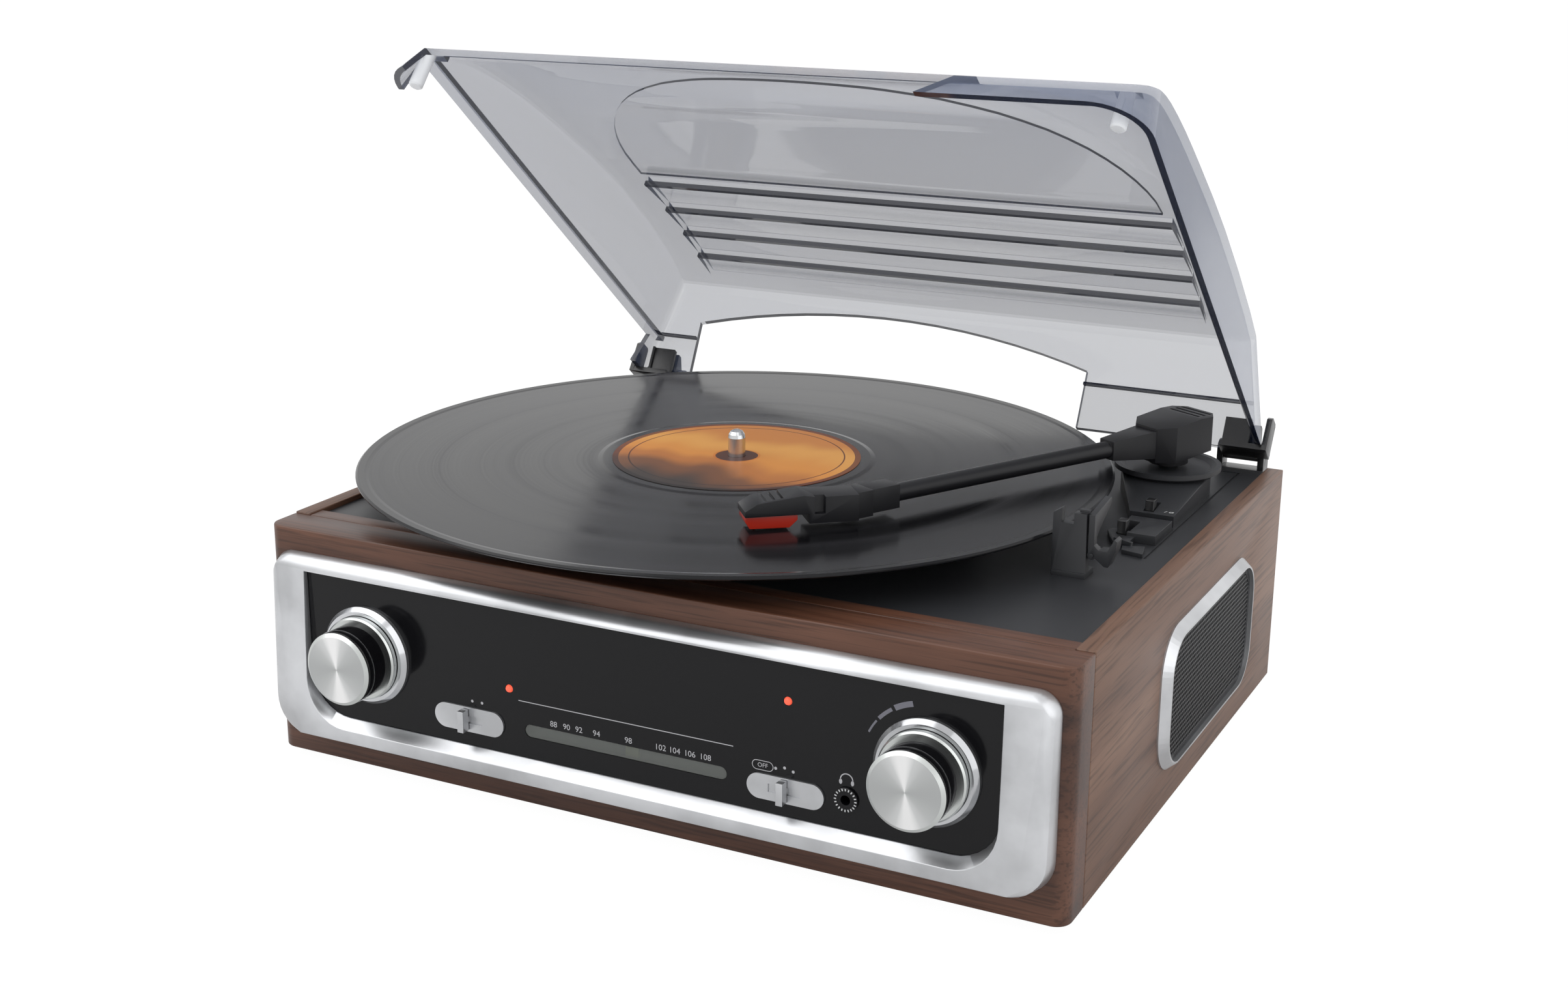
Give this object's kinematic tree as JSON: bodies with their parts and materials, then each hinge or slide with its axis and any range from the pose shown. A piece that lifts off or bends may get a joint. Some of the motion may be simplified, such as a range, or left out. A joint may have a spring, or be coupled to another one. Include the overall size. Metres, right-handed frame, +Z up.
{
  "type": "music centre",
  "caption": "Wood-cased stereo record player with a radio panel, side speakers, a playing arm on a record and a smoked lid that opens on rear hinges.",
  "frame": {"origin": "centre of the bounding box on the surface that the feet stand on, with the lid open", "axes": "+X to the right along the front, +Y from the control panel to the back, +Z up"},
  "size_m": [0.344, 0.3082, 0.2686],
  "materials": {
    "walnut": "satin",
    "black_board": "matte",
    "foot_rubber": "matte",
    "deck_black": "matte",
    "gloss_black": "gloss",
    "satin_silver": "satin",
    "bright_metal": "polished",
    "chrome": "polished",
    "window": "gloss",
    "lamp": "gloss",
    "board_green": "satin",
    "can": "satin",
    "grille": "matte",
    "driver": "matte",
    "steel": "satin",
    "belt": "matte",
    "platter": "matte",
    "mat": "matte",
    "vinyl": "gloss",
    "label": "matte",
    "brass": "satin",
    "pointer": "matte",
    "stylus": "gloss",
    "smoked": "gloss",
    "bumper": "satin"
  },
  "bodies": {
    "cabinet": {"front_board": "walnut", "front_rail": "walnut", "side_board_left": "walnut", "side_board_right": "walnut", "back_panel": "black_board", "base_panel": "black_board", "feet": "foot_rubber", "deck_plate": "deck_black", "switch_console": "deck_black", "arm_plinth": "deck_black", "arm_rest": "deck_black", "bezel": "satin_silver", "control_panel": "gloss_black", "dial_window": "window", "tuning_ring": "chrome", "volume_ring": "chrome", "switch_plates": "satin_silver", "indicator_lamps": "lamp", "headphone_jack": "gloss_black", "main_board": "board_green", "tuner_gang": "can", "volume_pot": "can", "slide_switches": "gloss_black", "dial_rail": "steel", "speaker_ring_left": "satin_silver", "speaker_ring_right": "satin_silver", "speaker_grille_left": "grille", "speaker_grille_right": "grille", "speaker_driver_left": "driver", "speaker_driver_right": "driver", "platter_bearing": "steel", "motor": "can", "drive_belt": "belt", "rear_sockets": "gloss_black", "hinge_bases": "gloss_black", "hinge_pins": "steel"},
    "turntable": {"platter": "platter", "platter_mat": "mat", "spindle": "bright_metal", "record_disc": "vinyl", "record_label": "label"},
    "pulley": {"motor_pulley": "brass"},
    "arm_base": {"arm_yoke": "deck_black"},
    "arm": {"arm_housing": "deck_black", "arm_tube": "deck_black", "headshell": "deck_black", "stylus_cartridge": "stylus"},
    "clip": {"arm_clip": "deck_black"},
    "speed_switch": {"speed_slide": "gloss_black"},
    "stop_switch": {"stop_slide": "gloss_black"},
    "tuning": {"tuning_knob": "gloss_black", "tuning_cap": "bright_metal"},
    "dial": {"dial_pointer": "pointer"},
    "volume": {"volume_knob": "gloss_black", "volume_cap": "bright_metal"},
    "band_switch": {"band_slide": "satin_silver"},
    "source_switch": {"source_slide": "satin_silver"},
    "lid": {"lid_shell": "smoked", "lid_bumpers": "bumper", "hinge_clips": "gloss_black"}
  },
  "joints": [
    {"name": "platter_spin", "type": "hinge", "parent": "cabinet", "child": "turntable", "pos_m": [-0.02125, -0.00328, 0.099], "axis": [0, 0, 1], "continuous": true},
    {"name": "pulley_spin", "type": "hinge", "parent": "cabinet", "child": "pulley", "pos_m": [-0.0764, 0.05187, 0.094], "axis": [0, 0, 1], "continuous": true},
    {"name": "arm_swing", "type": "hinge", "parent": "cabinet", "child": "arm_base", "pos_m": [0.13125, 0.08422, 0.105], "axis": [0, 0, -1], "range_deg": [-22.5, 13.5]},
    {"name": "arm_lift", "type": "hinge", "parent": "arm_base", "child": "arm", "pos_m": [0.13125, 0.08422, 0.117], "axis": [-0.8854, 0.4648, 0], "range_deg": [0, 1.8]},
    {"name": "clip_swing", "type": "hinge", "parent": "cabinet", "child": "clip", "pos_m": [0.14115, -0.03828, 0.1024], "axis": [0, 1, 0], "range_deg": [0, 12]},
    {"name": "speed_select", "type": "slide", "parent": "cabinet", "child": "speed_switch", "axis": [0, 1, 0], "range_m": [-0.001, 0.004]},
    {"name": "stop_select", "type": "slide", "parent": "cabinet", "child": "stop_switch", "axis": [0, 1, 0], "range_m": [0, 0.004]},
    {"name": "tuning_turn", "type": "hinge", "parent": "cabinet", "child": "tuning", "pos_m": [-0.10825, -0.13028, 0.052], "axis": [0, 1, 0], "range_deg": [-540, 540]},
    {"name": "dial_slide", "type": "slide", "parent": "cabinet", "child": "dial", "axis": [1, 0, 0], "range_m": [-0.036, 0.036]},
    {"name": "volume_turn", "type": "hinge", "parent": "cabinet", "child": "volume", "pos_m": [0.11975, -0.13028, 0.052], "axis": [0, 1, 0], "range_deg": [-140, 140]},
    {"name": "band_select", "type": "slide", "parent": "cabinet", "child": "band_switch", "axis": [1, 0, 0], "range_m": [0, 0.004]},
    {"name": "source_select", "type": "slide", "parent": "cabinet", "child": "source_switch", "axis": [1, 0, 0], "range_m": [-0.004, 0.004]},
    {"name": "lid_hinge", "type": "hinge", "parent": "cabinet", "child": "lid", "pos_m": [0.00575, 0.13872, 0.099], "axis": [1, 0, 0], "range_deg": [0, 39.8]}
  ],
  "couplings": [
    {"joint": "pulley_spin", "follows": "platter_spin", "ratio": 10.167},
    {"joint": "dial_slide", "follows": "tuning_turn", "m_per_rad": 0.00381}
  ]
}
